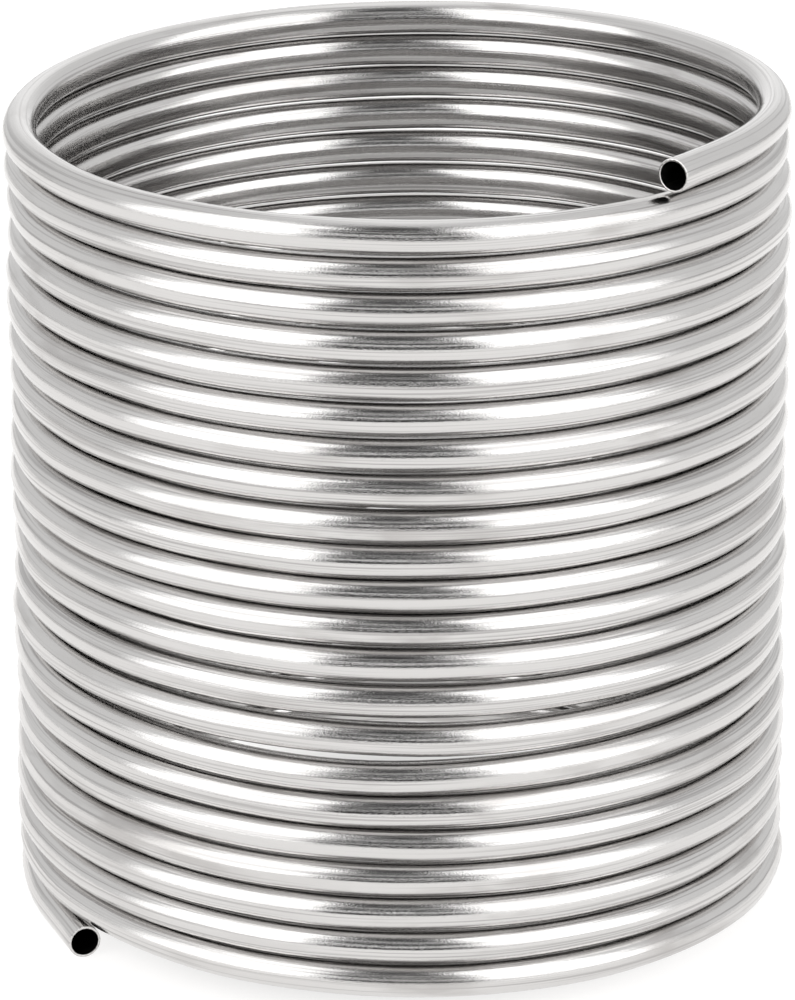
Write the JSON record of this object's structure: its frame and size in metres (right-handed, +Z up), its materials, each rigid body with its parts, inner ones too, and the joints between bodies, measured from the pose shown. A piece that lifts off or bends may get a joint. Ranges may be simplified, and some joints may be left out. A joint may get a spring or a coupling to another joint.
{
  "type": "immersion wort chiller",
  "caption": "Bare stainless-steel cooling coil: one long tube close-wound left-handed into an open cylinder, with plain square-cut open ends at top front right and bottom front left.",
  "frame": {"origin": "on the floor under the middle of the coil", "axes": "+Z up along the coil's axis, -Y towards the front where the two cut ends are, +X to the right"},
  "size_m": [0.224, 0.224, 0.2399],
  "materials": {
    "stainless_tube": "bright drawn stainless steel, satin lengthwise draw lines"
  },
  "bodies": {
    "root": {"coil_tube": "stainless_tube"}
  },
  "joints": []
}
